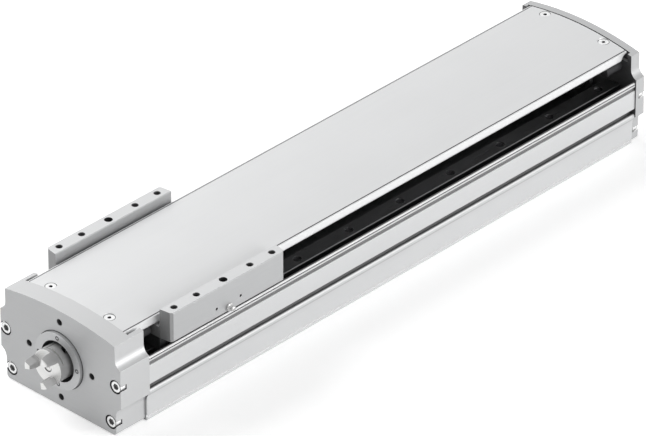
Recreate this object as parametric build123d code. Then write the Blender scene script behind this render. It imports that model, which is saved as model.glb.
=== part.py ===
"""Ball screw linear axis: an aluminium profile with two guide rails, a screw between two end caps,
and a carriage whose arms reach out of the slots beside the top cover.

Millimetres. X runs along the axis from the drive end to the far end, +Z is up, and the origin is
the middle of the profile's underside. The carriage stands at the start of its stroke.
"""

from build123d import *
from math import cos, floor, radians, sin, sqrt
import os

# Lengths along the axis
stroke = 400.0
travel_reserve = 21.0
drive_cap_length = 32.0
far_cap_length = 10.0

# Heights, from the rails' seat upwards
rail_seat_height = 37.5
rail_height = 15.0
guide_height = 28.0
plate_thickness = 10.0
cover_gap = 1.5
cover_rise = 13.0
arm_top_height = 92.5
cap_ground = 0.5

# Gaps around the nut, the rails and the blocks, which set the profile's inside
nut_side_gap = 6.0
nut_roof_gap = 3.3
nut_floor_gap = 4.2
rail_shelf = 4.5
rail_floor = 10.5
block_side_gap = 0.6

# Profile section
side_wall = 8.6
lip_gap = 5.1
lip_wall = 2.4
lip_edge = 0.8
side_slot_height = 32.8
side_slot_width = 5.4
side_slot_depth = 6.8
side_slot_bevel = 1.4
side_band_drop = 5.7
side_band_width = 3.6
side_notch_drop = 2.0
side_notch_width = 1.0
side_groove_depth = 1.2
base_slot_inset = 10.0
base_slot_width = 8.2
base_slot_depth = 10.0
foot_inset = 2.4
foot_groove_height = 4.2
foot_groove_width = 2.4
flare_start = 18.9
flare_rise = 8.6

# End caps
cap_overhang = 1.1
cap_waist = 6.0
cap_foot_inset = 5.8
cap_crown_radius = 299.0
cap_shoulder_drop = 2.5
cap_shoulder_rise = 8.3
upper_screw_inset = 4.6
upper_screw_height = 46.4
lower_screw_inset = 10.4
lower_screw_height = 11.1
counterbore_diameter = 12.2
head_sink = 0.4
drive_cap_ledge = 13.6
far_cap_ledge = 3.2
far_boss_wall = 5.0

# Cover
cover_inset = 12.0
cover_side_gap = 3.0
cover_wall = 2.8
cover_lip_wall = 4.2
cover_lip_radius = 2.4
cover_end_gap = 1.2
cover_end_cut = 6.5
cover_rib_spread = 36.0
cover_rib_width = 2.4
cover_rib_ends = (2.0, 12.0)
cover_lug_depth = 9.0
cover_screw_margin = 21.3
cover_screw_step = 4.6
cover_screw_end = 5.0

# Guide rails and runner blocks
rail_width = 15.0
rail_hole_pitch = 60.0
rail_first_hole = 12.5
rail_screw_sink = 1.3
block_width = 29.6
block_length = 58.0
block_spacing = 12.0
block_inset = 1.0
block_end_plate = 8.0
block_floor_gap = 4.3

# Spindle, nut and bearings
spindle_diameter = 20.0
nut_diameter = 36.0
nut_length = 44.0
nut_flange_diameter = 48.0
nut_flange_thickness = 8.0
housing_side_gap = 6.5
housing_floor_gap = 6.2
housing_length = 40.0
drive_journal = 17.0
hub_journal = 12.0
stud_journal = 8.0
far_journal = 12.0
drive_bearing_diameter = 40.0
drive_bearing_width = 17.5
drive_bearing_split = 24.0
far_bearing_diameter = 28.0
far_bearing_width = 8.0
far_bearing_split = 17.0
bearing_shoulder = 4.0
lock_nut_diameter = 28.0
lock_nut_width = 5.0

# Collar and coupling hub at the drive face
motor_circle = 70.0
motor_hole_depth = 12.0
collar_diameter = 50.0
collar_bore = 36.0
collar_stand = 3.0
collar_seat = 1.0
collar_side_gap = 0.1
hub_diameter = 30.0
hub_stand = 14.0
hub_sink = 4.5
hub_web = 2.5
jaw_length = 11.0
jaw_count = 3
jaw_first_angle = 2.0
jaw_bore = 18.0
jaw_arc = 40.0
jaw_lead_length = 7.0
jaw_lead_depth = 1.6
jaw_chamfer = 0.6
hub_slit = 1.0
hub_slit_angle = 74.0
clamp_screw_setback = 13.0
clamp_screw_offset = 10.2

# Carriage top
arm_gap = 4.0
arm_thickness = 12.0
arm_hole_end = 10.0
arm_hole_step = 25.0
arm_hole_depth = 14.0
dowel_diameter = 7.0
dowel_depth = 8.0
side_hole_pitch = 27.0
side_hole_rise = 8.2
side_hole_diameter = 2.5
side_hole_depth = 10.0
nipple_rise = 4.5
nipple_hexagon = 6.4
nipple_seat = 2.2
nipple_diameter = 4.8
nipple_length = 6.3
buffer_diameter = 9.0

# Screws: thread diameter, head diameter, head height
m3 = (3.0, 5.5, 3.0)
m4 = (4.0, 7.0, 4.0)
m6 = (6.0, 10.0, 6.0)
m6_socket = (5.0, 3.0)
countersunk_head_diameter = 10.0
countersunk_socket = (3.0, 1.8)

# Clearances
fit_gap = 0.02
seat_gap = 0.05
running_gap = 0.05
guide_gap = 0.25
counterbore_gap = 0.5

# Lengths that follow from the sizes above
carriage_length = 2 * (block_length + block_inset) + block_spacing
profile_length = carriage_length + stroke + 2 * travel_reserve
profile_start = -profile_length / 2
profile_end = profile_length / 2
drive_face = profile_start - drive_cap_length
far_face = profile_end + far_cap_length
carriage_start = profile_start + travel_reserve
carriage_middle = carriage_start + carriage_length / 2
drive_cap_strip = drive_cap_length - drive_cap_ledge
far_cap_rim = far_cap_length - far_cap_ledge
cover_start = drive_face + drive_cap_strip + seat_gap
cover_end = far_face - far_cap_rim - cover_end_gap
cover_screw_inset_drive = drive_cap_strip + cover_screw_step
cover_screw_inset_far = far_cap_rim + cover_end_gap + cover_screw_end
rail_start = profile_start + seat_gap
rail_length = profile_length - 2 * seat_gap
bearing_back = profile_start - bearing_shoulder
bearing_front = bearing_back - drive_bearing_width
far_bearing_back = profile_end + bearing_shoulder
far_bearing_front = far_bearing_back - far_bearing_width
far_boss_length = profile_end - far_bearing_front
hub_face = drive_face - hub_stand
hub_back = drive_face + hub_sink
jaw_tip = hub_face - jaw_length

# Heights that follow
plate_underside = rail_seat_height + guide_height
plate_top = plate_underside + plate_thickness
lip_height = plate_underside - lip_gap
side_hole_height = plate_underside + side_hole_rise
nipple_height = plate_underside + nipple_rise
lip_bottom = plate_top + cover_gap
cap_crown_height = lip_bottom + cover_rise
cover_under_radius = cap_crown_radius - cover_wall
spindle_height = plate_underside - nut_roof_gap - nut_diameter / 2
channel_floor_height = spindle_height - nut_flange_diameter / 2 - nut_floor_gap
housing_bottom = channel_floor_height + housing_floor_gap
trough_corner_height = rail_seat_height + block_floor_gap - 1.6

# Widths that follow, from the middle outwards
channel_half_width = nut_flange_diameter / 2 + nut_side_gap
rail_middle = channel_half_width + rail_shelf + rail_width / 2
block_outside = rail_middle + block_width / 2
wall_boss_inside = block_outside + block_side_gap
profile_half_width = wall_boss_inside + side_wall
foot_half_width = profile_half_width - foot_inset
cap_half_width = profile_half_width + cap_overhang
waist_half_width = cap_half_width - cap_waist
cover_half_width = profile_half_width - cover_inset
arm_inside = cover_half_width + arm_gap
arm_outside = arm_inside + arm_thickness
arm_hole_spread = arm_inside + arm_outside
arm_hole_rows = (
    carriage_length - 2 * arm_hole_end,
    carriage_length - 2 * (arm_hole_end + arm_hole_step),
)
base_slot_spacing = 2 * (channel_half_width - base_slot_inset)
upper_screw_spread = 2 * (profile_half_width - upper_screw_inset)
lower_screw_spread = 2 * (profile_half_width - lower_screw_inset)
cover_screw_spread = 2 * (cover_half_width - cover_screw_margin)


def on_axis(x):
    """The plane across the screw's axis at x, with +Y to its right and +Z up."""
    return Plane((x, 0, spindle_height), x_dir=(0, 1, 0), z_dir=(1, 0, 0))


def across(x):
    """The plane across the whole axis at x, with its origin at the underside."""
    return Plane((x, 0, 0), x_dir=(0, 1, 0), z_dir=(1, 0, 0))


def bar(face, start, length):
    """A section drawn in Y and Z, pulled along X."""
    return extrude(across(start) * face, amount=length)


def both_sides(shape):
    """A shape and its mirror image about the middle plane of the axis."""
    return [shape, mirror(shape, Plane.XZ)]


def symmetric_section(half):
    """The face between a half outline, drawn from the middle plane and back to it, and its image."""
    return make_face([*half.edges(), *mirror(half, Plane.YZ).edges()])


def mirrored_polygons(*outlines):
    """Closed polygons in Y and Z, each with its mirror image, as one sketch."""
    faces = Sketch()
    for outline in outlines:
        face = make_face(Polyline(*outline, close=True))
        faces += [face, mirror(face, Plane.YZ)]
    return faces


def round_bar(diameter, start, length, centre=(0, None)):
    """A cylinder along X. Its centre is the screw's axis if no height is given."""
    y, z = centre
    height = spindle_height if z is None else z
    plane = Plane((start, y, height), x_dir=(0, 1, 0), z_dir=(1, 0, 0))
    return extrude(plane * Circle(diameter / 2), amount=length)


def upright(diameter, x, y, bottom, top):
    """A vertical cylinder."""
    return extrude(Plane((x, y, bottom)) * Circle(diameter / 2), amount=top - bottom)


def box_between(low, high):
    """A box between two corners."""
    sizes = [b - a for a, b in zip(low, high)]
    middle = [(a + b) / 2 for a, b in zip(low, high)]
    return Pos(*middle) * Box(*sizes)


def polar(radius, angle):
    """A point in a plane, at a radius and an angle in degrees."""
    return (radius * cos(radians(angle)), radius * sin(radians(angle)))


def block_of(solids):
    """Separate solids that share one node."""
    return Compound(children=[solid for shape in solids for solid in shape.solids()])


def crown_height_at(y, radius=cap_crown_radius):
    """Height of the arched top at y, for the outer arc or one under it."""
    return cap_crown_height - cap_crown_radius + sqrt(radius**2 - y**2)


def cap_screw_places():
    """Y and Z of the four screws that hold a cap, and the other half of each pair."""
    upper, lower = upper_screw_spread / 2, lower_screw_spread / 2
    return [
        (side * y, z)
        for side in (-1, 1)
        for y, z in ((upper, upper_screw_height), (lower, lower_screw_height))
    ]


def flare(foot, wide):
    """The hollow curve from a foot to the full width, the same on the profile and the caps."""
    rise, reach = flare_rise, wide - foot
    radius = (reach**2 + rise**2) / (2 * reach)
    return RadiusArc((foot, flare_start), (wide, flare_start + rise), radius)


def profile_section():
    """The extruded section, with the trough open at the top."""
    band = lip_height - side_band_drop
    band_low, band_high = band - side_band_width / 2, band + side_band_width / 2
    notch = lip_height - side_notch_drop
    notch_low, notch_high = notch - side_notch_width / 2, notch + side_notch_width / 2
    groove_in = profile_half_width - side_groove_depth
    foot_groove_low = foot_groove_height - foot_groove_width / 2
    foot_groove_high = foot_groove_height + foot_groove_width / 2
    foot_groove_in = foot_half_width - side_groove_depth
    wall_thin, wall_thick = profile_half_width - lip_wall, profile_half_width - lip_wall - 2.6
    shoulder = rail_middle - rail_width / 2 - seat_gap
    half = Curve() + [
        Polyline(
            (0, 0),
            (foot_half_width - 1, 0),
            (foot_half_width, 1),
            (foot_half_width, foot_groove_low),
            (foot_groove_in, foot_groove_low),
            (foot_groove_in, foot_groove_high),
            (foot_half_width, foot_groove_high),
            (foot_half_width, flare_start),
        ),
        flare(foot_half_width, profile_half_width),
        Polyline(
            (profile_half_width, flare_start + flare_rise),
            (profile_half_width, band_low),
            (groove_in, band_low),
            (groove_in, band_high),
            (profile_half_width, band_high),
            (profile_half_width, notch_low),
            (groove_in, notch_low),
            (groove_in, notch_high),
            (profile_half_width, notch_high),
            (profile_half_width, lip_height - lip_edge),
            (profile_half_width - lip_edge, lip_height),
            (wall_thin, lip_height),
            (wall_thin, notch_low - 0.3),
            (wall_thick, band_low + 1),
            (wall_thick, upper_screw_height + 7),
            (wall_boss_inside, upper_screw_height + 4.8),
            (wall_boss_inside, trough_corner_height),
            (rail_middle + rail_width / 2 + 4, trough_corner_height),
            (rail_middle + rail_width / 2 + 2.6, rail_seat_height),
            (shoulder, rail_seat_height),
            (shoulder, rail_seat_height + 1.4),
            (channel_half_width + 1, rail_seat_height + 1.4),
            (channel_half_width, rail_seat_height + 0.4),
            (channel_half_width, channel_floor_height + 4),
            (channel_half_width - 4, channel_floor_height),
            (0, channel_floor_height),
        ),
    ]
    return symmetric_section(half)


def side_slot_outline():
    """The T-slot in the profile's side, with a bevel under its mouth."""
    half = side_slot_width / 2
    neck = profile_half_width - 2.1
    bevel = side_slot_bevel
    bottom = profile_half_width - side_slot_depth
    mouth = profile_half_width + 1
    z = side_slot_height
    return [
        (mouth, z - half - bevel), (profile_half_width, z - half - bevel),
        (profile_half_width - bevel, z - half), (neck, z - half), (neck, z - half - 1.8),
        (bottom + 2.4, z - half - 1.8), (bottom, z - half + 0.4), (bottom, z + half - 0.4),
        (bottom + 2.4, z + half + 1.8),
        (neck, z + half + 1.8), (neck, z + half), (mouth, z + half),
    ]


def base_slot_outline():
    """The T-slot in the underside."""
    y, half, deep = base_slot_spacing / 2, base_slot_width / 2, base_slot_depth
    return [
        (y - half, -1), (y - half, 3.2), (y - half - 2.8, 3.2), (y - half - 2.8, deep - 2.2),
        (y - half - 0.4, deep), (y + half + 0.4, deep), (y + half + 2.8, deep - 2.2),
        (y + half + 2.8, 3.2), (y + half, 3.2), (y + half, -1),
    ]


def chamber_outline():
    """The hollow under each rail, with room left for the lower screw and the rail's threads."""
    inside = channel_half_width + 3.5
    screw_wall = lower_screw_spread / 2 - 5.2
    outside = foot_half_width - 4.7
    roof = rail_seat_height - rail_floor
    return [
        (inside, 5), (screw_wall, 5), (screw_wall, lower_screw_height + 5), (outside, lower_screw_height + 7),
        (outside, roof - 4.5), (outside - 3.6, roof), (inside, roof),
    ]


def rail_hole_places():
    """X of the rail's fixing screws, on a fixed pitch from the drive end."""
    last = rail_length - rail_first_hole / 2
    count = floor((last - rail_first_hole) / rail_hole_pitch) + 1
    return [rail_start + rail_first_hole + i * rail_hole_pitch for i in range(count)]


def base_profile():
    """The extruded profile."""
    section = profile_section()
    section -= mirrored_polygons(side_slot_outline(), base_slot_outline(), chamber_outline())
    return bar(section, profile_start, profile_length)


def cap_section():
    """The outline of both caps: arched top, hollowed shoulders and drawn-in foot."""
    waist, wide, foot = waist_half_width, cap_half_width, cap_half_width - cap_foot_inset
    eave = crown_height_at(waist)
    shoulder_low = plate_underside - cap_shoulder_drop
    shoulder_high = shoulder_low + cap_shoulder_rise
    shoulder_radius = (cap_waist**2 + cap_shoulder_rise**2) / (2 * cap_waist)
    half = Curve() + [
        Line((0, cap_ground), (foot - 3, cap_ground)),
        RadiusArc((foot - 3, cap_ground), (foot, cap_ground + 3), -3),
        Line((foot, cap_ground + 3), (foot, flare_start)),
        flare(foot, wide),
        Line((wide, flare_start + flare_rise), (wide, shoulder_low)),
        RadiusArc((wide, shoulder_low), (waist, shoulder_high), shoulder_radius),
        Line((waist, shoulder_high), (waist, eave)),
        RadiusArc((waist, eave), (0, cap_crown_height), -cap_crown_radius),
    ]
    return symmetric_section(half)


def sunk_heads(face, into):
    """The rings cut around a cap's four socket heads, which are one with it, and their sockets."""
    head, height = m6[1], m6[2]
    rings = []
    for y, z in cap_screw_places():
        mouth = Plane((face, y, z), x_dir=(0, 1, 0), z_dir=(into, 0, 0))
        top = Plane((face + into * head_sink, y, z), x_dir=(0, 1, 0), z_dir=(into, 0, 0))
        ring = extrude(mouth * Circle(counterbore_diameter / 2), amount=height + head_sink)
        ring -= extrude(top * Circle(head / 2), amount=height)
        rings.append(ring + hexagon_bar(top, *m6_socket))
    return rings


def cover_seat(start, length):
    """The room that the cover needs over a cap: its shell and lips, with a gap at each side."""
    inside = cover_half_width - cover_lip_wall - seat_gap
    room = cover_half_width + cover_side_gap
    under = cover_under_radius - seat_gap
    top = cap_crown_height + 1
    half = Curve() + [
        Line((0, top), (room, top)),
        Line((room, top), (room, lip_bottom - seat_gap)),
        Line((room, lip_bottom - seat_gap), (inside, lip_bottom - seat_gap)),
        Line((inside, lip_bottom - seat_gap), (inside, crown_height_at(inside, under))),
        RadiusArc((inside, crown_height_at(inside, under)), (0, crown_height_at(0, under)), -under),
    ]
    return bar(symmetric_section(half), start, length)


def drive_end_cap():
    """The cap that carries the fixed bearing, the motor's fixing holes and the cover's front end."""
    cap = bar(cap_section(), drive_face, drive_cap_length)
    cap -= cover_seat(drive_face + drive_cap_strip, drive_cap_length - drive_cap_strip)
    cap -= round_bar(drive_bearing_diameter + 2 * fit_gap, drive_face, bearing_back - drive_face)
    cap -= round_bar(spindle_diameter + 2, drive_face, drive_cap_length)
    cap -= round_bar(collar_diameter + 2 * collar_side_gap, drive_face, collar_seat)
    cap -= sunk_heads(drive_face, 1)
    for angle in range(0, 360, 90):
        y = motor_circle / 2 * cos(radians(angle))
        z = spindle_height + motor_circle / 2 * sin(radians(angle))
        cap -= round_bar(m6[0], drive_face, motor_hole_depth, (y, z))
    return cap


def far_end_cap():
    """The thin cap at the far end: a rim behind the cover, lugs under it and the bearing's boss."""
    cap = bar(cap_section(), profile_end, far_cap_length)
    lug_half = countersunk_head_diameter / 2 + 4
    lug_length = cover_screw_inset_far - far_cap_length + countersunk_head_diameter / 2 + 2
    lug_start = profile_end - lug_length
    for y in (-cover_screw_spread / 2, cover_screw_spread / 2):
        low = (lug_start, y - lug_half, lip_bottom - cover_lug_depth)
        cap += box_between(low, (profile_end + 1, y + lug_half, cap_crown_height))
    cap += round_bar(far_bearing_diameter + 2 * far_boss_wall, far_bearing_front, far_boss_length + 1)
    seat_start = lug_start - 1
    cap -= cover_seat(seat_start, far_face - far_cap_rim - seat_start)
    cap -= round_bar(far_bearing_diameter + 2 * fit_gap, far_bearing_front - 1, far_bearing_width + 1)
    cap -= round_bar(far_bearing_diameter - 6, far_bearing_front, far_bearing_width + 3)
    return cap - sunk_heads(far_face, -1)


def cover_plate():
    """The arched cover: rounded lips, cut back at both ends, and two ribs between the caps."""
    edge = crown_height_at(cover_half_width)
    inside = cover_half_width - cover_lip_wall
    under = crown_height_at(inside, cover_under_radius)
    lip_round = cover_lip_radius
    half = Curve() + [
        Line((0, crown_height_at(0, cover_under_radius)), (0, cap_crown_height)),
        RadiusArc((0, cap_crown_height), (cover_half_width, edge), cap_crown_radius),
        Line((cover_half_width, edge), (cover_half_width, lip_bottom + lip_round)),
        RadiusArc(
            (cover_half_width, lip_bottom + lip_round), (cover_half_width - lip_round, lip_bottom), lip_round
        ),
        Line((cover_half_width - lip_round, lip_bottom), (inside, lip_bottom)),
        Line((inside, lip_bottom), (inside, under)),
        RadiusArc((inside, under), (0, crown_height_at(0, cover_under_radius)), -cover_under_radius),
    ]
    side = make_face(half.edges())
    section = side + mirror(side, Plane.YZ)
    cover = bar(section, cover_start, cover_end - cover_start)
    for side in (-1, 1):
        y = side * (cover_half_width - 1.6)
        cover -= box_between((cover_start - 1, y - 0.35, edge - 0.25), (cover_end + 1, y + 0.35, edge + 3))
    rib_start, rib_end = profile_start + cover_rib_ends[0], profile_end - cover_rib_ends[1]
    for y in (-cover_rib_spread / 2, cover_rib_spread / 2):
        low = (rib_start, y - cover_rib_width / 2, lip_bottom + 4)
        cover += box_between(low, (rib_end, y + cover_rib_width / 2, cap_crown_height - 2))
    for x in (cover_start, cover_end):
        for side in (-1, 1):
            corner = Plane((x, side * (inside - 1), lip_bottom), x_dir=(1, 0, 0), z_dir=(0, side, 0))
            cover -= extrude(corner * Circle(cover_end_cut), amount=cover_lip_wall + 2)
    return cover - countersunk_heads()


def cover_screw_top():
    """Height of the cover screws' flat heads, just under the arched surface beside them."""
    return crown_height_at(cover_screw_spread / 2 + countersunk_head_diameter / 2)


def countersunk_heads():
    """The flats and sockets of the four countersunk heads, which are one with the cover."""
    head, top = countersunk_head_diameter, cover_screw_top()
    cuts = []
    for x in (drive_face + cover_screw_inset_drive, far_face - cover_screw_inset_far):
        for y in (-cover_screw_spread / 2, cover_screw_spread / 2):
            cuts.append(upright(head, x, y, top, cap_crown_height + 1))
            cuts.append(hexagon_bar(Plane((x, y, top), z_dir=(0, 0, -1)), *countersunk_socket))
    return cuts


def hexagon_bar(plane, width, depth):
    """A hexagonal prism along a plane's normal, for a socket or a hexagon head."""
    return extrude(plane * RegularPolygon(width / 2, 6, major_radius=False), amount=depth)


def buffer_places():
    """Y and Z of the rubber stops that meet the carriage plate's ends."""
    height = plate_underside + plate_thickness / 2
    spread = cover_screw_spread / 2 + 14
    return [(-spread, height), (spread, height)]


def buffers(face, into):
    """Two rubber stops bonded to a cap's inner face; into is the way into the cap."""
    length = travel_reserve - 3
    start = face - length if into > 0 else face
    return block_of([round_bar(buffer_diameter, start, length, place) for place in buffer_places()])


def rail_section():
    """A rail with its ball grooves, standing on its base line."""
    half_width, height = rail_width / 2, rail_height
    half = Polyline(
        (0, 0), (half_width - 0.4, 0), (half_width, 0.4), (half_width, height - 8.4),
        (half_width - 1.5, height - 6.9), (half_width - 1.5, height - 4.7),
        (half_width, height - 3.2), (half_width, height - 0.6), (half_width - 0.6, height), (0, height),
    )
    return symmetric_section(half)


def guide_rail(y):
    """One rail with its screws, whose heads are the floors of the recesses in its top."""
    section = Pos(y, rail_seat_height) * rail_section()
    rail = bar(section, rail_start, rail_length)
    top = rail_seat_height + rail_height
    for x in rail_hole_places():
        mouth = Plane((x, y, top - rail_screw_sink)) * RegularPolygon(m4[1] / 2 + counterbore_gap, 12)
        rail -= extrude(mouth, amount=rail_screw_sink + 1)
    return rail


def block_section(clearance):
    """A runner block around its rail, in Y and Z about the rail's base."""
    outside = block_width / 2
    bottom, top = block_floor_gap, guide_height
    half_width, height = rail_width / 2, rail_height
    g = clearance
    half = Polyline(
        (0, top), (outside - 1, top), (outside, top - 1), (outside, bottom + 1), (outside - 1, bottom),
        (half_width + g, bottom), (half_width + g, height - 8.4 - 0.4 * g),
        (half_width - 1.5 + g, height - 6.9), (half_width - 1.5 + g, height - 4.7),
        (half_width + g, height - 3.2 + 0.4 * g),
        (half_width + g, height + g), (0, height + g),
    )
    return symmetric_section(half)


def block_places():
    """X of the two blocks on each rail, one near each end of the carriage."""
    offset = carriage_length / 2 - 1 - block_length / 2
    return {"drive": carriage_middle - offset, "far": carriage_middle + offset}


def runner_block(x, y):
    """The steel body of one block."""
    body_length = block_length - 2 * block_end_plate
    section = Pos(y, rail_seat_height) * block_section(guide_gap)
    return bar(section, x - body_length / 2, body_length)


def block_end_plates(x, y):
    """The plastic end plates of one block, which turn the balls and carry the wiper lips."""
    section = Pos(y, rail_seat_height) * offset_block_section()
    reach = block_length / 2
    near = bar(section, x - reach, block_end_plate)
    return [near, bar(section, x + reach - block_end_plate, block_end_plate)]


def offset_block_section():
    """The end plates stand a little inside the block's outline, clear of the carriage plate."""
    face = block_section(guide_gap + 0.1)
    trim = Pos(0, guide_height) * Rectangle(block_width + 2, 1.2)
    return face - trim


def ball_screw_spindle():
    """The screw with its bearing seats and lock nut, and the stub that takes the hub."""
    far_shoulder = far_bearing_front - 0.5
    spindle = round_bar(spindle_diameter, bearing_back, far_shoulder - bearing_back)
    lock_front = bearing_front - lock_nut_width
    spindle += round_bar(drive_journal, lock_front, bearing_back - lock_front)
    web_back = hub_face + hub_web
    spindle += round_bar(hub_journal, web_back, lock_front - web_back)
    spindle += round_bar(stud_journal, hub_face + 0.5, hub_web)
    spindle += round_bar(lock_nut_diameter, lock_front, lock_nut_width - 0.6)
    spindle += round_bar(drive_bearing_split - 1, lock_front, lock_nut_width)
    return spindle + round_bar(far_journal, far_shoulder, far_bearing_back + 2 - far_shoulder)


def bearing_rings(outer_rings):
    """The outer rings with their shields, or the inner rings, of both bearings."""
    rings = []
    for start, width, journal, split, outside in (
        (bearing_front, drive_bearing_width, drive_journal, drive_bearing_split, drive_bearing_diameter),
        (far_bearing_front, far_bearing_width, far_journal, far_bearing_split, far_bearing_diameter),
    ):
        if outer_rings:
            ring = round_bar(outside, start, width) - round_bar(split + running_gap, start, width)
        else:
            ring = round_bar(split - running_gap, start, width)
            ring -= round_bar(journal + 2 * fit_gap, start, width)
        rings.append(ring)
    return block_of(rings)


def bearing_collar():
    """The ring that clamps the fixed bearing and centres a motor flange."""
    collar = round_bar(collar_diameter, drive_face - collar_stand, collar_stand)
    collar += round_bar(collar_diameter - 1, drive_face, collar_seat)
    sleeve_length = bearing_front - drive_face
    collar += round_bar(drive_bearing_diameter - 2 * seat_gap, drive_face, sleeve_length)
    return collar - round_bar(collar_bore, drive_face - collar_stand - 1, sleeve_length + collar_stand + 2)


def jaw_gap(angle, relief=0.0):
    """The room between a jaw and the next one in the hub's plane, wider by the relief at both sides."""
    first, last = angle + jaw_arc / 2, angle + 360 / jaw_count - jaw_arc / 2
    into_first, into_last = polar(relief, first - 90), polar(relief, last + 90)
    corners = [(4, first, into_first), (hub_diameter, first, into_first)]
    corners += [(hub_diameter, last, into_last), (4, last, into_last)]
    outline = []
    for radius, side, shift in corners:
        y, z = polar(radius, side)
        outline.append((y + shift[0], z + shift[1]))
    return make_face(Polyline(*outline, close=True))


def jaw_lead_in(angle):
    """The cut between two jaws that slopes their sides, so that the coupling's other half finds them."""
    relief = jaw_lead_depth * (jaw_lead_length + 1) / jaw_lead_length
    root = on_axis(jaw_tip + jaw_lead_length) * jaw_gap(angle)
    return loft([on_axis(jaw_tip - 1) * jaw_gap(angle, relief), root])


def coupling_hub():
    """The clamping hub on the screw's stub: three jaws with sloping sides, a slit and a screw across it."""
    hub = round_bar(hub_diameter, jaw_tip, hub_back - jaw_tip) - jaw_tip_chamfer()
    hub -= round_bar(jaw_bore, jaw_tip - 1, jaw_length + 1)
    for i in range(jaw_count):
        angle = jaw_first_angle + 360 / jaw_count * i
        hub -= extrude(on_axis(jaw_tip - 1) * jaw_gap(angle), amount=jaw_length + 1)
        hub -= jaw_lead_in(angle)
    hub -= round_bar(hub_journal + 2 * fit_gap, hub_face + hub_web, hub_back - hub_face)
    hub -= round_bar(stud_journal + 1.0, hub_face - 1, hub_web + 2)
    for cut in hub_slits() + [clamp_screw_room()]:
        hub -= cut
    return hub


def jaw_tip_chamfer():
    """The ring of metal that the chamfer takes off the jaws' tips."""
    radius = hub_diameter / 2
    outline = [
        (jaw_tip - 1, radius + 1), (jaw_tip - 1, radius - jaw_chamfer - 1),
        (jaw_tip + jaw_chamfer, radius), (jaw_tip + jaw_chamfer, radius + 1),
    ]
    plane = Plane((0, 0, spindle_height), x_dir=(1, 0, 0), z_dir=(0, -1, 0))
    face = plane * make_face(Polyline(*outline, close=True))
    return revolve(face, Axis((0, 0, spindle_height), (1, 0, 0)), 360)


def hub_slits():
    """The slit along the hub, and the cut behind the jaws that frees the clamping half."""
    length = hub_back - hub_face - 4
    along = Pos(0, 0, hub_diameter / 2) * Box(length, hub_slit, hub_diameter / 2)
    turn = hub_slit_angle - 90
    along = Rot(turn, 0, 0) * Pos(hub_back - length / 2, 0, 0) * along
    across_cut = Pos(hub_face + 4, 0, hub_diameter / 2) * Box(hub_slit, hub_diameter, hub_diameter - 4)
    across_cut = Rot(turn, 0, 0) * across_cut
    lift = Pos(0, 0, spindle_height)
    return [lift * along, lift * across_cut]


def clamp_screw_plane(distance):
    """A plane across the clamp screw, at a distance from the slit along the screw."""
    angle = radians(hub_slit_angle)
    radial = (0, cos(angle), sin(angle))
    along = (0, -sin(angle), cos(angle))
    y = clamp_screw_offset * radial[1] + distance * along[1]
    z = spindle_height + clamp_screw_offset * radial[2] + distance * along[2]
    return Plane((hub_face + clamp_screw_setback, y, z), x_dir=(1, 0, 0), z_dir=along)


def clamp_screw_room():
    """The clamp screw's hole across the slit, with a pocket for its head."""
    room = extrude(clamp_screw_plane(-8) * Circle(m3[0] / 2 + fit_gap), amount=16)
    return room + extrude(clamp_screw_plane(4.5) * Circle(m3[1] / 2 + 0.2), amount=12)


def hub_clamp_screw():
    """The screw that closes the hub on the stub."""
    size, head, height = m3
    screw = extrude(clamp_screw_plane(-7) * Circle(size / 2), amount=12)
    screw += extrude(clamp_screw_plane(4.5 + seat_gap) * Circle(head / 2), amount=height)
    socket_plane = clamp_screw_plane(4.5 + seat_gap + height - 1.5)
    return screw - hexagon_bar(socket_plane, 2.5, 2)


def carriage_section():
    """The plate under the cover and the two arms that rise outside it."""
    return symmetric_section(
        Polyline(
            (0, plate_underside), (arm_outside - 0.8, plate_underside), (arm_outside, plate_underside + 0.8),
            (arm_outside, arm_top_height - 0.5), (arm_outside - 0.5, arm_top_height),
            (arm_inside + 0.5, arm_top_height), (arm_inside, arm_top_height - 0.5),
            (arm_inside, plate_top + 1.5), (arm_inside - 1.5, plate_top), (0, plate_top),
        )
    )


def arm_end_trims():
    """The chamfers at the outer ends of both arms."""
    low, high = plate_underside - 1, arm_top_height + 1
    cuts = []
    for turn, start in ((1, carriage_start), (-1, carriage_start + carriage_length)):
        outline = [
            (start - turn, arm_inside), (start, arm_inside), (start + turn * 1.6, arm_outside - 2.2),
            (start + turn * 3.4, arm_outside + 0.01), (start - turn, arm_outside + 1),
        ]
        face = make_face(Polyline(*outline, close=True))
        cuts += both_sides(extrude(Plane((0, 0, low)) * face, amount=high - low))
    return cuts


def carriage_plate():
    """The carriage's one-piece body, with its threads, dowel holes and screw holes."""
    body = bar(carriage_section(), carriage_start, carriage_length)
    body -= arm_end_trims()
    for side in (-1, 1):
        y = side * arm_hole_spread / 2
        for row in arm_hole_rows:
            for x in (carriage_middle - row / 2, carriage_middle + row / 2):
                body -= upright(m6[0], x, y, arm_top_height - arm_hole_depth, arm_top_height + 1)
        body -= upright(dowel_diameter, carriage_middle, y, arm_top_height - dowel_depth, arm_top_height + 1)
        body -= side_holes(side)
    return body


def side_holes(side):
    """The two small threads in an arm's outer face."""
    cuts = []
    for x in (carriage_middle - side_hole_pitch / 2, carriage_middle + side_hole_pitch / 2):
        plane = Plane((x, side * arm_outside, side_hole_height), x_dir=(1, 0, 0), z_dir=(0, -side, 0))
        cuts.append(extrude(plane * Circle(side_hole_diameter / 2), amount=side_hole_depth))
    return cuts


def nut_housing():
    """The block under the plate that holds the ball nut."""
    start = carriage_middle - housing_length / 2
    half_width = channel_half_width - housing_side_gap
    low = (start, -half_width, housing_bottom)
    high = (start + housing_length, half_width, plate_underside)
    body = box_between(low, high)
    body = chamfer(body.edges().filter_by(Axis.X).group_by(Axis.Z)[0], 5)
    body -= round_bar(nut_diameter + 2 * fit_gap, start - 1, housing_length + 2)
    return body


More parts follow.
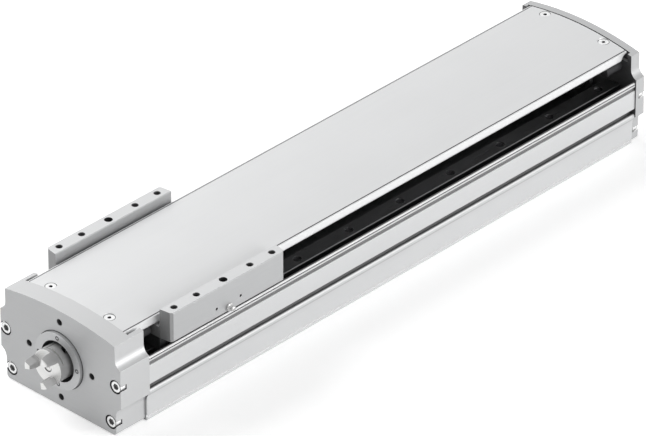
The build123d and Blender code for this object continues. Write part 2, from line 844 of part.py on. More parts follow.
def nut_start():
    """X of the nut's flange face, on the drive side of the housing."""
    return carriage_middle - housing_length / 2 - nut_flange_thickness


def ball_nut():
    """The flanged ball nut, with a flat that clears the plate."""
    start = nut_start()
    nut = round_bar(nut_flange_diameter, start, nut_flange_thickness)
    flat = plate_underside - 0.3
    half = nut_flange_diameter / 2
    nut -= box_between((start - 1, -half, flat), (start + nut_flange_thickness + 1, half, flat + half))
    nut += round_bar(nut_diameter, start, nut_length + nut_flange_thickness)
    nut -= round_bar(spindle_diameter + 2 * running_gap, start - 1, nut_length + nut_flange_thickness + 2)
    return nut


def grease_nipples():
    """A nipple on the outer face of each arm: a hexagon and its round head."""
    nipples = []
    for side in (-1, 1):
        foot = (carriage_middle, side * arm_outside, nipple_height)
        seat = Plane(foot, x_dir=(1, 0, 0), z_dir=(0, side, 0))
        hexagon = hexagon_bar(seat, nipple_hexagon, nipple_seat)
        nipples.append(hexagon + extrude(seat * Circle(nipple_diameter / 2), amount=nipple_length))
    return block_of(nipples)


def all_parts():
    """Every piece, under the name of its node."""
    parts = {
        "base_profile": base_profile(),
        "drive_end_cap": drive_end_cap(),
        "far_end_cap": far_end_cap(),
        "cover_plate": cover_plate(),
        "drive_end_buffers": buffers(profile_start, -1),
        "far_end_buffers": buffers(profile_end, 1),
        "bearing_outer_rings": bearing_rings(True),
        "bearing_inner_rings": bearing_rings(False),
        "bearing_collar": bearing_collar(),
        "ball_screw_spindle": ball_screw_spindle(),
        "coupling_hub": coupling_hub(),
        "hub_clamp_screw": hub_clamp_screw(),
        "carriage_plate": carriage_plate(),
        "nut_housing": nut_housing(),
        "ball_nut": ball_nut(),
        "grease_nipples": grease_nipples(),
    }
    for side, y in (("left", rail_middle), ("right", -rail_middle)):
        parts[f"guide_rail_{side}"] = guide_rail(y)
        for end, x in block_places().items():
            parts[f"runner_block_{side}_{end}"] = runner_block(x, y)
            parts[f"block_end_plates_{side}_{end}"] = block_of(block_end_plates(x, y))
    return parts


os.makedirs("parts", exist_ok=True)
for name, shape in all_parts().items():
    export_step(shape, f"parts/{name}.step")
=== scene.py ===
"""Looks of a ball screw linear axis: a covered aluminium profile with a two-armed carriage.

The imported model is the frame. It gives every main form, and this file adds finishes, the screw's
thread, the threads in the tapped holes and other small parts, then a plain studio. X runs from the
drive end to the far end, +Z is up, and lengths in the code are in millimetres until a mesh is made.
"""

import math

import bpy
from bpy.props import (
    FloatProperty,
    FloatVectorProperty,
    IntProperty,
    PointerProperty,
)
from mathutils import Matrix, Vector


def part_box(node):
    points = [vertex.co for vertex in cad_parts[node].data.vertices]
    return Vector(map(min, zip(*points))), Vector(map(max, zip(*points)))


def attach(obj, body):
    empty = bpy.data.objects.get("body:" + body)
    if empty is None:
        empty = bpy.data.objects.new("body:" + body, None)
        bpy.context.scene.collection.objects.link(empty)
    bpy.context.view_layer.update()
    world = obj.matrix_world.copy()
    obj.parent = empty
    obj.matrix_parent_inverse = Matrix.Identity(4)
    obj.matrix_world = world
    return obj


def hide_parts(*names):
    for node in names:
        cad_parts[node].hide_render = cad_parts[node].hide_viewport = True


bl_info = {
    "name": "Ball Screw Linear Axis",
    "version": (1, 0, 0),
    "blender": (4, 5, 0),
    "location": "View3D > Sidebar > Linear Axis",
    "description": "Finishes, threads and studio for a covered ball screw linear axis",
    "category": "Object",
}

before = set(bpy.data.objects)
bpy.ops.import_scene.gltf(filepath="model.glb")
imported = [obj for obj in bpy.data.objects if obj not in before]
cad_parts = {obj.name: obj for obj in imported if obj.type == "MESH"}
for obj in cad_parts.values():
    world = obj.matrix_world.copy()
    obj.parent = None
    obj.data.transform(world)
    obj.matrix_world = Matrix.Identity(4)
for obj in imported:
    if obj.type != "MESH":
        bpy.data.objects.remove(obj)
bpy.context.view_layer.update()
MM = 0.001


def box_mm(node):
    """Lowest and highest corner of a node at rest, in millimetres."""
    low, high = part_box(node)
    return [v / MM for v in low], [v / MM for v in high]


def middle_mm(node):
    """Middle of a node's box, in millimetres."""
    low, high = box_mm(node)
    return [(a + b) / 2 for a, b in zip(low, high)]


SPINDLE_LOW, SPINDLE_HIGH = box_mm("ball_screw_spindle")
AXIS_HEIGHT = middle_mm("ball_screw_spindle")[2]
DRIVE_FACE = box_mm("drive_end_cap")[0][0]
FAR_FACE = box_mm("far_end_cap")[1][0]
PROFILE_START, PROFILE_END = box_mm("base_profile")[0][0], box_mm("base_profile")[1][0]
CARRIAGE_LOW, CARRIAGE_HIGH = box_mm("carriage_plate")
CARRIAGE_MIDDLE = middle_mm("carriage_plate")[0]
VECTOR_MATH = "ShaderNodeVectorMath"

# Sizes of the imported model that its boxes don't give, in millimetres. A line is a distance from the
# middle along Y, and places along X are seen from the carriage's middle or from an end face.
HEAD_PLACES = ((61.4, 46.4), (55.6, 11.1))
COLLAR_BORE = 36.0
JAW_LENGTH = 11.0
LOCK_NUT_WIDTH = 5.0
PLATE_THICKNESS = 10.0
ARM_LINE = 64.0
ARM_HOLES = (-55.0, -30.0, 30.0, 55.0)
SIDE_HOLES = (-13.5, 13.5)
SIDE_HOLE_HEIGHT = 73.7
MOTOR_RADIUS = 35.0
FLANGE_RADIUS = 20.6
COLLAR_SCREW_RADIUS = 21.4
BLOCK_PLACES = (-35.0, 35.0)
BLOCK_SCREWS = (-13.0, 13.0)
HOUSING_SCREW_LINE = 18.5
RAIL_LINE = 42.0
RAIL_SCREW_PITCH = 60.0
RAIL_SCREW_START = 12.5
RAIL_SCREW_SINK = 1.3
COVER_ARCH = 299.0
COVER_SCREW_LINE = 32.7
COVER_FLAT = 5.0
COVER_SCREWS_DRIVE, COVER_SCREWS_FAR = 23.0, 13.0
FOOT_HEIGHTS = (18.9, 27.5)
PROFILE_HALF_WIDTHS = (63.6, 66.0)


# Sizes and colours that a user may change


def length(name, description, default, low=0.0):
    """A length in millimetres."""
    return FloatProperty(name=name, description=description, default=default, min=low, precision=3)


def share(name, description, default):
    """A number from 0 to 1."""
    return FloatProperty(
        name=name, description=description, default=default, min=0.0, max=1.0, subtype="FACTOR"
    )


def colour(name, description, default):
    """A base colour in linear values."""
    return FloatVectorProperty(
        name=name, description=description, default=default,
        min=0.0, max=1.0, size=3, subtype="COLOR",
    )


def angle(name, description, degrees):
    """An angle, given in degrees."""
    return FloatProperty(
        name=name, description=description, default=math.radians(degrees), subtype="ANGLE"
    )


def power(name, description, default):
    """The power of a lamp."""
    return FloatProperty(name=name, description=description, default=default, unit="POWER")


class AxisFinishes(bpy.types.PropertyGroup):
    """Colours of the finishes, and of the painted light and shade."""

    profile: colour("Profile", "Anodised extrusion of the base", (0.63, 0.635, 0.64))
    # Painted shade: the walls and floor of the trough, and the inner face of the far cap.
    inside: colour("Inside", "Walls and floor of the trough", (0.10, 0.10, 0.103))
    drive_cap: colour("Drive end cap", "Milled and anodised cap at the hub", (0.50, 0.505, 0.51))
    far_cap: colour("Far end cap", "Milled and anodised thin cap", (0.42, 0.425, 0.43))
    cover: colour("Cover", "Anodised top cover", (0.70, 0.705, 0.71))
    carriage: colour("Carriage", "Anodised plate with its arms", (0.45, 0.455, 0.46))
    housing: colour("Nut housing", "Milled block under the plate", (0.50, 0.51, 0.52))
    bright_steel: colour("Bright steel", "Turned and ground steel", (0.66, 0.66, 0.655))
    collar: colour("Collar", "Turned ring around the hub", (0.51, 0.515, 0.52))
    zinc: colour("Zinc", "Zinc plated screws", (0.88, 0.885, 0.885))
    # Painted shade: the sockets of the cap screws, and a dark line along the caps' edges.
    socket: colour("Sockets", "Sockets of the plated screws, and edges of the caps", (0.34, 0.34, 0.34))
    black_steel: colour("Black steel", "Black oxide screws", (0.045, 0.045, 0.048))
    rail: colour("Rail", "Hardened rail and runner blocks", (0.17, 0.171, 0.175))
    # Painted light on the carriage's upward faces, and painted shade on its faces towards the drive
    # end.
    arm_top: colour("Arm tops", "Ground faces that carry the load", (0.64, 0.645, 0.65))
    arm_end: colour("Arm ends", "Plate and arms at the drive end", (0.30, 0.302, 0.305))
    # The hub's sides and jaws get a darker colour than its turned faces: painted shade, with part of
    # the difference real from the turning.
    hub: colour("Hub", "Turned faces of the coupling hub", (0.84, 0.84, 0.83))
    hub_body: colour("Hub body", "Sides of the coupling hub and its jaws", (0.44, 0.44, 0.44))
    # Painted shade: tapped and reamed holes, the collar's bore and screw heads, the gap around the
    # collar, the counterbores of the cap screws and the groove above each lip of the cover.
    hole: colour("Hole", "Holes, and gaps around heads and lips", (0.05, 0.05, 0.052))
    rubber: colour("Rubber", "Stops on the end caps", (0.022, 0.022, 0.024))
    plastic: colour("Plastic", "End plates of the runner blocks", (0.035, 0.036, 0.038))
    nickel: colour("Nickel", "Plated grease nipples", (0.52, 0.52, 0.515))


class AxisDetails(bpy.types.PropertyGroup):
    """Sizes of the small details."""

    screw_diameter: length("Screw diameter", "Outside diameter of the ball screw", 20.0, 4.0)
    thread_pitch: length("Screw lead", "Advance of the ball thread in one turn", 10.0, 1.0)
    groove_depth: length("Groove depth", "Depth of the ball groove", 1.35)
    groove_width: length("Groove width", "Width of the ball groove along the screw", 5.4)
    rod_segments: IntProperty(
        name="Screw segments", description="Faces around the screw", default=40, min=16
    )
    hole_pitch: length("Hole thread pitch", "Pitch of the threads in the larger tapped holes", 1.0, 0.2)
    small_hole_pitch: length("Small hole pitch", "Pitch of the threads in the small holes", 0.5, 0.2)
    edge_radius: length("Broken edge", "Radius of the light on broken edges", 0.35)
    line_depth: share("Drawing lines", "Strength of the lines along the extrusions", 0.35)
    tone_change: share("Tone change", "Uneven tone of the anodised faces", 0.25)


class AxisStudio(bpy.types.PropertyGroup):
    """Camera, lamps and floor."""

    azimuth: angle("Azimuth", "Camera's side, 0 looks along +Y", 313.8420309)
    elevation: angle("Elevation", "Camera's height above the horizon", 32.2673738)
    roll: angle("Roll", "Camera's turn about its own axis", -0.1827144)
    place: FloatVectorProperty(
        name="Camera place",
        description="Camera's position",
        default=(-3.57906557, -3.41824356, 3.15499406),
        subtype="TRANSLATION",
        unit="LENGTH",
    )
    lens: FloatProperty(
        name="Lens", description="Focal length", default=401.175, min=10.0, unit="CAMERA"
    )
    key_power: power("Key lamp", "Power of the large lamp over the left side", 66.0)
    side_power: power("Side lamp", "Power of the lamp beside the axis", 58.0)
    fill_power: power("Fill lamp", "Power of the lamp before the drive end", 6.0)
    ambient: FloatProperty(
        name="Ambient", description="Strength of the room's even light", default=0.3, min=0.0
    )
    floor: colour("Floor", "Pale floor", (0.86, 0.86, 0.86))
    floor_glow: share("Floor glow", "Light of the floor that only the camera sees", 0.42)


# Effects shared by several finishes


def start_group(name, inputs, outputs):
    """A new node group with its entries and exits; inputs are (name, default), None is a vector."""
    group = bpy.data.node_groups.new(name, "ShaderNodeTree")
    for label, default in inputs:
        kind = "NodeSocketFloat" if isinstance(default, float) else "NodeSocketVector"
        socket = group.interface.new_socket(name=label, in_out="INPUT", socket_type=kind)
        if default is not None:
            socket.default_value = default
    for label in outputs:
        kind = "NodeSocketVector" if label == "Normal" else "NodeSocketFloat"
        group.interface.new_socket(name=label, in_out="OUTPUT", socket_type=kind)
    entry = group.nodes.new("NodeGroupInput")
    leave = group.nodes.new("NodeGroupOutput")
    return group, entry.outputs, leave.inputs


def add_node(tree, kind, inputs=None, **settings):
    """A node with its settings, and with sockets or values on the inputs named or numbered."""
    node = tree.nodes.new(kind)
    for name, value in settings.items():
        setattr(node, name, value)
    for label, value in (inputs or {}).items():
        if isinstance(value, bpy.types.NodeSocket):
            tree.links.new(value, node.inputs[label])
        else:
            node.inputs[label].default_value = value
    return node


def compute(tree, operation, *inputs, kind="ShaderNodeMath", out=0, **settings):
    """The output of a math node, with sockets or values on its inputs in order."""
    node = add_node(tree, kind, dict(enumerate(inputs)), operation=operation, **settings)
    return node.outputs[out]


def map_range(tree, value, source=(0.0, 1.0), target=(0.0, 1.0), **settings):
    """A value taken from one range to another, and kept inside it."""
    labels = ("From Min", "From Max", "To Min", "To Max")
    inputs = {"Value": value, **dict(zip(labels, (*source, *target)))}
    return add_node(tree, "ShaderNodeMapRange", inputs, **settings).outputs[0]


def noise(tree, inputs, **settings):
    """A noise texture's value."""
    return add_node(tree, "ShaderNodeTexNoise", inputs, **settings).outputs["Fac"]


def part_along(tree, vector, axis):
    """The part of a vector along an axis."""
    return add_node(tree, "ShaderNodeSeparateXYZ", {0: vector}).outputs[axis]


def give_tone(group, entry, leave, value, middle, height):
    """Puts out a value as a tone about one, as wide as the spread asked for, and a height."""
    centred = compute(group, "SUBTRACT", value, middle)
    tone = compute(group, "MULTIPLY_ADD", centred, entry["Spread"], 1.0)
    group.links.new(tone, leave["Tone"])
    group.links.new(height, leave["Height"])


def build_drawn_lines():
    """Fine lines along one direction, as an extrusion or a ground face has them."""
    group, entry, leave = start_group(
        "Drawn Lines",
        [("Vector", None), ("Stretch", (8.0, 900.0, 900.0)), ("Spread", 0.08)],
        ["Tone", "Height"],
    )
    scaled = compute(group, "MULTIPLY", entry["Vector"], entry["Stretch"], kind=VECTOR_MATH)
    fine = noise(group, {"Vector": scaled, "Scale": 1.0, "Detail": 3.0, "Roughness": 0.6})
    give_tone(group, entry, leave, fine, 0.5, fine)
    return group


def build_turned_rings():
    """Fine rings about the screw's axis, as a lathe leaves them."""
    group, entry, leave = start_group(
        "Turned Rings",
        [
            ("Vector", None), ("Centre", (0.0, 0.0, AXIS_HEIGHT * MM)),
            ("Lines per Metre", 2500.0), ("Spread", 0.1),
        ],
        ["Tone", "Height"],
    )
    moved = compute(group, "SUBTRACT", entry["Vector"], entry["Centre"], kind=VECTOR_MATH)
    flat = compute(group, "MULTIPLY", moved, (0.0, 1.0, 1.0), kind=VECTOR_MATH)
    radius = compute(group, "LENGTH", flat, kind=VECTOR_MATH, out="Value")
    reach = compute(group, "ADD", radius, part_along(group, moved, "X"))
    scaled = compute(group, "MULTIPLY", reach, entry["Lines per Metre"])
    rings = noise(group, {"W": scaled, "Scale": 1.0, "Detail": 2.0}, noise_dimensions="1D")
    give_tone(group, entry, leave, rings, 0.5, rings)
    return group


def build_fine_grain():
    """The fine even grain of blasted or moulded faces, with a slow change of tone."""
    group, entry, leave = start_group(
        "Fine Grain",
        [
            ("Vector", None), ("Grain per Metre", 3500.0),
            ("Clouds per Metre", 14.0), ("Spread", 0.1),
        ],
        ["Tone", "Height"],
    )
    vector, grain_share = entry["Vector"], 0.35
    grain = noise(group, {"Vector": vector, "Scale": entry["Grain per Metre"], "Detail": 2.0})
    clouds = noise(
        group,
        {"Vector": vector, "Scale": entry["Clouds per Metre"], "Detail": 4.0, "Roughness": 0.55},
    )
    mixed = compute(group, "MULTIPLY_ADD", grain, grain_share, clouds)
    give_tone(group, entry, leave, mixed, (1.0 + grain_share) / 2, grain)
    return group


def build_broken_edges():
    """The light that small chamfers catch: a mask along the edges, and a softened normal."""
    group, entry, leave = start_group(
        "Broken Edges", [("Radius", 0.0003), ("Gain", 2.5)], ["Mask", "Normal"]
    )
    bevel = add_node(group, "ShaderNodeBevel", {"Radius": entry["Radius"]}, samples=6).outputs[0]
    plain = add_node(group, "ShaderNodeNewGeometry").outputs["Normal"]
    match = compute(group, "DOT_PRODUCT", bevel, plain, kind=VECTOR_MATH, out="Value")
    turned = compute(group, "SUBTRACT", 1.0, match)
    gained = compute(group, "MULTIPLY", turned, entry["Gain"], use_clamp=True)
    group.links.new(gained, leave["Mask"])
    group.links.new(bevel, leave["Normal"])
    return group


def shared_effects():
    """The node groups, made once."""
    made = {
        "Drawn Lines": build_drawn_lines,
        "Turned Rings": build_turned_rings,
        "Fine Grain": build_fine_grain,
        "Broken Edges": build_broken_edges,
    }
    return {name: bpy.data.node_groups.get(name) or build() for name, build in made.items()}


# Finishes


def place_effect(tree, name, place, values):
    """A shared effect in a material, with its own values."""
    node = tree.nodes.new("ShaderNodeGroup")
    node.node_tree = shared_effects()[name]
    if "Vector" in node.inputs:
        tree.links.new(place.outputs["Object"], node.inputs["Vector"])
    for label, value in values.items():
        node.inputs[label].default_value = value
    return node.outputs


def paint(tree, shader, base, tones, edge, painted_edge_tone):
    """The base colour times each tone, with the painted edge tone laid along the edges: painted
    highlight, and painted shade where that tone is dark.
    """
    colour_node = add_node(tree, "ShaderNodeRGB")
    colour_node.outputs[0].default_value = (*base, 1.0)
    last = colour_node.outputs[0]
    for tone in tones:
        scale = add_node(tree, VECTOR_MATH, {0: last, "Scale": tone}, operation="SCALE")
        last = scale.outputs[0]
    tree.links.new(last, shader.inputs["Base Color"])
    add_tone(tree, shader, edge, painted_edge_tone)


def roughen(tree, shader, height, low, high):
    """Roughness that follows a height from low to high."""
    tree.links.new(map_range(tree, height, target=(low, high)), shader.inputs["Roughness"])


def raise_surface(tree, shader, height, strength, distance, normal):
    """A bump from a height over a softened normal, with its distance in millimetres."""
    bump = add_node(
        tree, "ShaderNodeBump",
        {"Height": height, "Strength": strength, "Distance": distance * MM, "Normal": normal},
    )
    tree.links.new(bump.outputs[0], shader.inputs["Normal"])


def lighter(base, amount):
    """A colour moved towards white."""
    return tuple(c + (1.0 - c) * amount for c in base)


def span_mask(tree, value, low, high, soft):
    """One between two values, nought outside them, with soft ends."""
    rise = map_range(tree, value, (low - soft, low))
    fall = map_range(tree, value, (high, high + soft), (1.0, 0.0))
    return compute(tree, "MULTIPLY", rise, fall)


def depth_in_profile(tree, place):
    """Height, and depth under the profile's side, which draws in towards the foot, in metres."""
    height = part_along(tree, place.outputs["Object"], "Z")
    reach = compute(tree, "ABSOLUTE", part_along(tree, place.outputs["Object"], "Y"))
    heights, widths = ([v * MM for v in pair] for pair in (FOOT_HEIGHTS, PROFILE_HALF_WIDTHS))
    side = map_range(tree, height, heights, widths, interpolation_type="SMOOTHERSTEP")
    return height, compute(tree, "SUBTRACT", side, reach)


def shade_recesses(tree, shader, place, base, inside):
    """Paints shade into the grooves, the slots and the trough, as darker colours by depth under the
    profile's side.
    """
    height, depth = depth_in_profile(tree, place)

    def beyond(value, low, soft, high=300.0):
        return span_mask(tree, value, low * MM, high * MM, soft * MM)

    groove, over_foot = beyond(depth, 1.1, 0.4), beyond(height, 20.0, 0.5)
    notch, notch_height = beyond(depth, 0.6, 0.3), beyond(height, 57.8, 0.1, 59.2)
    slot, over_floor = beyond(depth, 2.2, 0.9), beyond(height, 0.6, 0.3)
    within, upper = beyond(depth, 2.7, 0.3), beyond(height, 38.2, 0.5)
    inner, trough = beyond(depth, 7.5, 0.5), beyond(height, 15.0, 0.5)
    # Painted shade: each groove, the notch, the slots and the trough get a darker colour.
    for one, other, tone in (
        (groove, over_foot, [0.3 * c for c in base]), (notch, notch_height, (0.08, 0.08, 0.082)),
        (slot, over_floor, (0.20, 0.20, 0.203)), (within, upper, inside), (inner, trough, inside),
    ):
        add_tone(tree, shader, compute(tree, "MULTIPLY", one, other), tone)


def add_tone(tree, shader, mask, tone):
    """Lays a tone over the base colour where a mask says so."""
    base = shader.inputs["Base Color"]
    inputs = {"Factor": mask, "A": base.links[0].from_socket, "B": (*tone, 1.0)}
    mix = add_node(tree, "ShaderNodeMix", inputs, data_type="RGBA")
    tree.links.new(mix.outputs["Result"], base)


def finish_nodes(material):
    """The tree, the shader and the texture coordinates of a finish."""
    tree = material.node_tree
    place = next(node for node in tree.nodes if node.bl_idname == "ShaderNodeTexCoord")
    return tree, tree.nodes["Principled BSDF"], place


def paint_ring_shade(material, centres, low, high, tone, beyond=0.0):
    """Paints shade in rings about lines along X, on both sides and outside a distance from the middle.
    """
    tree, shader, place = finish_nodes(material)
    mirrored = compute(tree, "ABSOLUTE", place.outputs["Object"], kind=VECTOR_MATH)
    flat = compute(tree, "MULTIPLY", mirrored, (0.0, 1.0, 1.0), kind=VECTOR_MATH)
    outside = span_mask(tree, part_along(tree, mirrored, "X"), beyond * MM, 1.0, 0.05 * MM)
    for y, z in centres:
        centre = (0.0, y * MM, z * MM)
        reach = compute(tree, "DISTANCE", flat, centre, kind=VECTOR_MATH, out="Value")
        ring = span_mask(tree, reach, low * MM, high * MM, 0.04 * MM)
        add_tone(tree, shader, compute(tree, "MULTIPLY", ring, outside), tone)


def paint_cover_groove_shade(material, tone):
    """Paints shade into the fine groove above each lip of the cover."""
    tree, shader, place = finish_nodes(material)
    reach = compute(tree, "ABSOLUTE", part_along(tree, place.outputs["Object"], "Y"))
    outer = box_mm("cover_plate")[1][1]
    mask = span_mask(tree, reach, (outer - 2.0) * MM, (outer - 1.2) * MM, 0.1 * MM)
    add_tone(tree, shader, mask, tone)


def paint_facing_light_and_shade(material, axis, low, high, tone):
    """Paints light and shade by facing: the faces whose normal has a part between low and high along an
    axis get a lighter or darker colour.
    """
    tree, shader, place = finish_nodes(material)
    part = part_along(tree, place.outputs["Normal"], axis)
    add_tone(tree, shader, span_mask(tree, part, low, high, 0.15), tone)


def make_finish(name, base, metallic, roughness, effects, edge, rough, bump):
    """A material whose tone follows shared effects, and whose roughness and bump the first one.

    Edge is the radius of the broken edges in millimetres, their gain and the painted edge tone laid
    along them, a painted highlight on most finishes and painted shade on the caps. Rough says how far
    the roughness goes down and up, and bump is its strength and its distance.
    """
    material = bpy.data.materials.new(name)
    material.use_nodes = True
    add_node(material.node_tree, "ShaderNodeTexCoord")
    tree, shader, place = finish_nodes(material)
    plain = (("Base Color", (*base, 1.0)), ("Metallic", metallic), ("Roughness", roughness))
    for label, value in plain:
        shader.inputs[label].default_value = value
    made = [place_effect(tree, label, place, values) for label, values in effects]
    radius, gain, painted_edge_tone = edge
    edges = place_effect(tree, "Broken Edges", place, {"Radius": radius * MM, "Gain": gain})
    paint(tree, shader, base, [outputs["Tone"] for outputs in made], edges["Mask"], painted_edge_tone)
    height = made[0]["Height"]
    roughen(tree, shader, height, roughness - rough[0], roughness + rough[1])
    raise_surface(tree, shader, height, *bump, edges["Normal"])
    return material


def extruded_aluminium(name, base, details):
    """Anodised extrusion: fine lines along the length, slow clouds and light on the edges."""
    lines = ("Drawn Lines", {"Spread": 0.16 * details.line_depth})
    grain = ("Fine Grain", {"Spread": 0.22 * details.tone_change})
    edge = (details.edge_radius, 1.6, lighter(base, 0.45))
    return make_finish(name, base, 0.45, 0.42, (lines, grain), edge, (0.07, 0.08), (0.12, 0.05))


def milled_aluminium(name, base, details, stretch=(500.0, 40.0, 700.0), painted_edge_tone=None):
    """Milled and anodised faces: short cutter lines, grain and a painted highlight on the edges, unless
    another painted edge tone is given.
    """
    grain = ("Fine Grain", {"Spread": 0.24 * details.tone_change})
    lines = ("Drawn Lines", {"Stretch": stretch, "Spread": 0.08})
    edge = (details.edge_radius, 2.0, painted_edge_tone or lighter(base, 0.55))
    return make_finish(name, base, 0.45, 0.45, (grain, lines), edge, (0.06, 0.08), (0.1, 0.03))


def turned_steel(name, base, details, metallic=0.9, roughness=0.28, rings=2200.0, spread=0.22):
    """Turned or ground steel with fine rings about the screw's axis."""
    turned = ("Turned Rings", {"Lines per Metre": rings, "Spread": spread})
    grain = ("Fine Grain", {"Spread": 0.12})
    # The last colour is a painted highlight along the broken edges.
    edge = (details.edge_radius * 0.7, 1.6, lighter(base, 0.5))
    effects, rough = (turned, grain), (0.08, 0.12)
    return make_finish(name, base, metallic, roughness, effects, edge, rough, (0.25, 0.04))


def ground_steel(name, base, details):
    """Hardened steel ground along its length, such as the rails."""
    lines = ("Drawn Lines", {"Stretch": (30.0, 2500.0, 2500.0), "Spread": 0.3})
    grain = ("Fine Grain", {"Spread": 0.15})
    # The last colour is a painted highlight along the broken edges.
    edge = (details.edge_radius * 0.8, 1.5, lighter(base, 0.35))
    return make_finish(name, base, 0.85, 0.3, (lines, grain), edge, (0.08, 0.1), (0.15, 0.03))


def plated_steel(name, base, details, metallic, roughness):
    """Plated or blackened small parts, with a painted highlight on the edges and a mottled coat."""
    grain = ("Fine Grain", {"Grain per Metre": 5000.0, "Clouds per Metre": 260.0, "Spread": 0.45})
    edge = (details.edge_radius * 0.6, 1.8, lighter(base, 0.3))
    return make_finish(name, base, metallic, roughness, (grain,), edge, (0.1, 0.14), (0.12, 0.03))


def moulded(name, base, details, roughness, grain_size=2600.0, depth=0.25):
    """Moulded rubber or plastic with a matt grain and a trace of dust."""
    grain = (
        "Fine Grain", {"Grain per Metre": grain_size, "Clouds per Metre": 120.0, "Spread": 0.7}
    )
    # The last colour is a painted highlight along the broken edges.
    edge = (details.edge_radius, 1.2, lighter(base, 0.12))
    return make_finish(name, base, 0.0, roughness, (grain,), edge, (0.1, 0.15), (depth, 0.06))


def dress(material, *nodes):
    """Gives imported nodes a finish."""
    for name in nodes:
        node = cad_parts[name]
        if not node.material_slots:
            node.data.materials.append(material)
        for slot in node.material_slots:
            slot.material = material


# Meshes


def new_piece(name, points, faces, material, body, slot, smooth=True, stands_for=()):
    """A mesh object from points in millimetres, which rides on a body."""
    mesh = bpy.data.meshes.new(name)
    mesh.from_pydata([Vector(p) * MM for p in points], [], faces)
    mesh.validate()
    if smooth:
        mesh.shade_smooth()
    mesh.materials.append(material)
    piece = bpy.data.objects.new(name, mesh)
    bpy.context.scene.collection.objects.link(piece)
    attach(piece, body)
    if stands_for:
        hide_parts(*stands_for)
    return piece


def grid_faces(rows, columns, start=0, flip=False):
    """Faces of a tube of rows of points, closed around."""
    faces = []
    for i in range(rows - 1):
        for j in range(columns):
            k = (j + 1) % columns
            a, b = start + i * columns + j, start + i * columns + k
            face = (a, b, b + columns, a + columns)
            faces.append(face[::-1] if flip else face)
    return faces


def about_axis(x, radius, turn):
    """A point at a radius about the screw's axis, after a part of a full turn."""
    angle = 2 * math.pi * turn
    return x, radius * math.cos(angle), AXIS_HEIGHT + radius * math.sin(angle)


def lathe_rows(outline, segments):
    """Points of an outline of (x, radius), turned about the screw's axis."""
    return [about_axis(x, radius, j / segments) for x, radius in outline for j in range(segments)]


def crisp(outline, width=0.02):
    """An outline with each corner doubled, so that smooth shading keeps it sharp."""
    made = [outline[0]]
    for before, here, after in zip(outline, outline[1:], outline[2:]):
        for end in (before, after):
            dx, dr = end[0] - here[0], end[1] - here[1]
            reach = math.hypot(dx, dr)
            step = min(width, reach / 3)
            made.append((here[0] + dx / reach * step, here[1] + dr / reach * step))
    return made + [outline[-1]]


def groove_radius(phase, outer, width, depth):
    """Radius of the screw at a place along one turn of its thread; the groove is round."""
    reach = abs(phase - 0.5)
    half = width / 2
    if reach >= half:
        return outer
    return outer - depth * math.sqrt(max(0.0, 1.0 - (reach / half) ** 2)) ** 1.15


def thread_rows(start, end, outer, pitch, width, depth, segments, steps):
    """Points of a right-hand thread between two places, in rows along the screw."""
    count = int(math.ceil((end - start) / pitch * steps)) + steps
    points = []
    for i in range(-steps, count + 1):
        radius = groove_radius((i / steps) % 1.0, outer, width / pitch, depth)
        for j in range(segments):
            x = start + (i / steps + j / segments) * pitch
            points.append(about_axis(min(max(x, start), end), radius, j / segments))
    return points, count + steps + 1


def thread_faces(rows, columns, steps, start=0):
    """Faces of the thread: past the last column it joins the row one turn on."""
    faces = []
    for i in range(rows - 1):
        for j in range(columns):
            a, d = start + i * columns + j, start + (i + 1) * columns + j
            if j + 1 < columns:
                b, c = a + 1, d + 1
            else:
                if i + 1 + steps >= rows:
                    continue
                b, c = start + (i + steps) * columns, start + (i + 1 + steps) * columns
            faces.append((a, b, c, d))
    return faces


def make_spindle(details, steel):
    """The screw with its thread, journals, stub and centre hole."""
    low, high = SPINDLE_LOW[0], SPINDLE_HIGH[0]
    segments = details.rod_segments
    outer = details.screw_diameter / 2 - 0.02
    shoulder = far_shoulder()
    thread_start = PROFILE_START + 3.0
    thread_end = PROFILE_END - 12.0
    hub_face = box_mm("coupling_hub")[0][0] + JAW_LENGTH
    lock_front = box_mm("bearing_outer_rings")[0][0] - LOCK_NUT_WIDTH
    front = [
        (low + 2.2, 0.05), (low + 1.2, 1.0), (low, 1.6), (low, 3.6), (low + 0.4, 3.98),
        (hub_face + 2.5, 3.98), (hub_face + 2.5, 5.6), (hub_face + 2.9, 5.98),
        (lock_front, 5.98), (lock_front, 13.4), (lock_front + 0.6, 13.98), (lock_front + 4.38, 13.98),
        (lock_front + 4.38, 11.48), (lock_front + 4.98, 11.48), (lock_front + 4.98, 8.48),
        (PROFILE_START - 4.0, 8.48), (PROFILE_START - 4.0, outer - 0.5),
        (PROFILE_START - 3.5, outer), (thread_start, outer),
    ]
    back = [
        (thread_end, outer), (shoulder - 0.5, outer), (shoulder, outer - 0.5), (shoulder, 5.98),
        (high - 0.5, 5.98), (high, 5.5), (high, 1.6), (high - 1.2, 1.0), (high - 2.2, 0.05),
    ]
    points, faces = [], []
    for outline in (crisp(front), crisp(back)):
        start = len(points)
        points += lathe_rows(outline, segments)
        faces += grid_faces(len(outline), segments, start)
    start, steps = len(points), 14
    rows_of_points, rows = thread_rows(
        thread_start, thread_end, outer, details.thread_pitch, details.groove_width,
        details.groove_depth, segments, steps,
    )
    points += rows_of_points
    faces += thread_faces(rows, segments, steps, start)
    return new_piece(
        "screw_thread", points, faces, steel, "spindle", "screw_steel",
        stands_for=("ball_screw_spindle",),
    )


def far_shoulder():
    """X of the shoulder before the far bearing."""
    return box_mm("bearing_inner_rings")[1][0] - 8.5


def hole_frame(direction):
    """Two directions across a hole that runs along a direction."""
    along = Vector(direction).normalized()
    helper = Vector((1, 0, 0)) if abs(along.x) < 0.9 else Vector((0, 1, 0))
    first = along.cross(helper).normalized()
    return along, first, along.cross(first)


